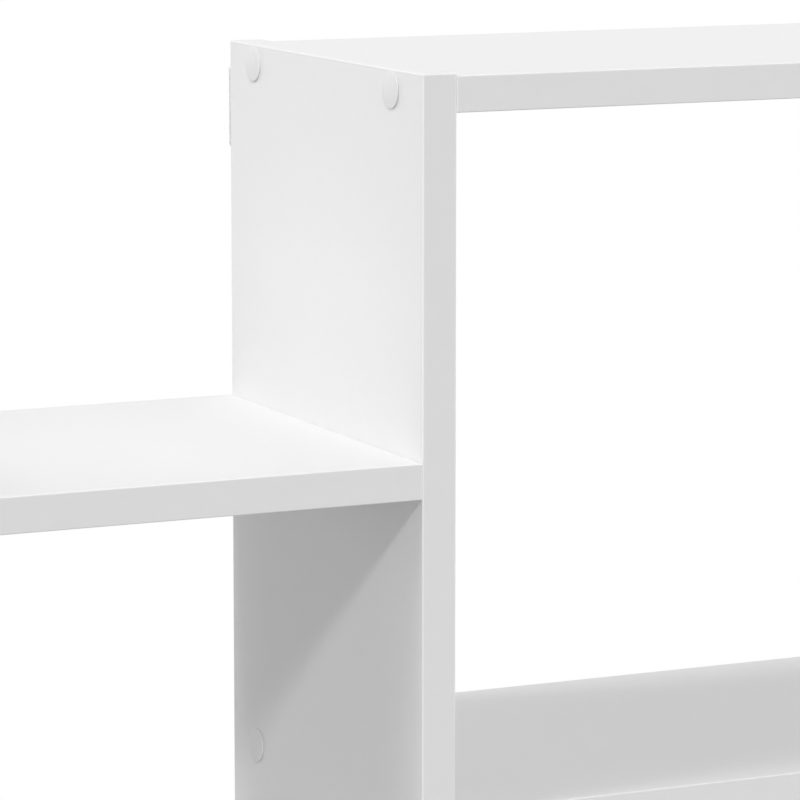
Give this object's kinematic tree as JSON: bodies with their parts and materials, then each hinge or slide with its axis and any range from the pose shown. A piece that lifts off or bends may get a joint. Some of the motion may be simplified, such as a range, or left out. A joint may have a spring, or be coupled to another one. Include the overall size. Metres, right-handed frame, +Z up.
{
  "type": "floating wall shelf",
  "caption": "White wall shelf of melamine-faced boards: a tall centre case with a middle shelf, lower side cases with raised end panels, and keyhole plates for the wall.",
  "frame": {"origin": "middle of the outline at the lowest point of the inner panels", "axes": "+X along the shelf to the right as seen from the front, +Y from the front to the wall, +Z up"},
  "size_m": [1.0526, 0.202, 0.625],
  "materials": {
    "melamine_board": "satin",
    "edge_band": "satin",
    "cap_plastic": "satin",
    "zinc_steel": "satin",
    "beech": "matte"
  },
  "bodies": {
    "root": {"inner_panel_left": "melamine_board", "inner_panel_right": "melamine_board", "end_panel_left": "melamine_board", "end_panel_right": "melamine_board", "top_board": "melamine_board", "middle_shelf": "melamine_board", "bottom_board": "melamine_board", "upper_shelf_left": "melamine_board", "upper_shelf_right": "melamine_board", "lower_shelf_left": "melamine_board", "lower_shelf_right": "melamine_board", "inner_panel_edging_left": "edge_band", "inner_panel_edging_right": "edge_band", "end_panel_edging_left": "edge_band", "end_panel_edging_right": "edge_band", "top_board_edging": "edge_band", "middle_shelf_edging": "edge_band", "bottom_board_edging": "edge_band", "upper_shelf_edging_left": "edge_band", "upper_shelf_edging_right": "edge_band", "lower_shelf_edging_left": "edge_band", "lower_shelf_edging_right": "edge_band", "centre_screws_left": "zinc_steel", "centre_screws_right": "zinc_steel", "side_screws_left": "zinc_steel", "side_screws_right": "zinc_steel", "end_screws_left": "zinc_steel", "end_screws_right": "zinc_steel", "centre_caps_left": "cap_plastic", "centre_caps_right": "cap_plastic", "side_caps_left": "cap_plastic", "side_caps_right": "cap_plastic", "end_caps_left": "cap_plastic", "end_caps_right": "cap_plastic", "inner_dowels_left": "beech", "inner_dowels_right": "beech", "end_dowels_left": "beech", "end_dowels_right": "beech", "inner_hanger_left": "zinc_steel", "inner_hanger_right": "zinc_steel", "end_hanger_left": "zinc_steel", "end_hanger_right": "zinc_steel", "inner_hanger_screws_left": "zinc_steel", "inner_hanger_screws_right": "zinc_steel", "end_hanger_screws_left": "zinc_steel", "end_hanger_screws_right": "zinc_steel"}
  },
  "joints": []
}
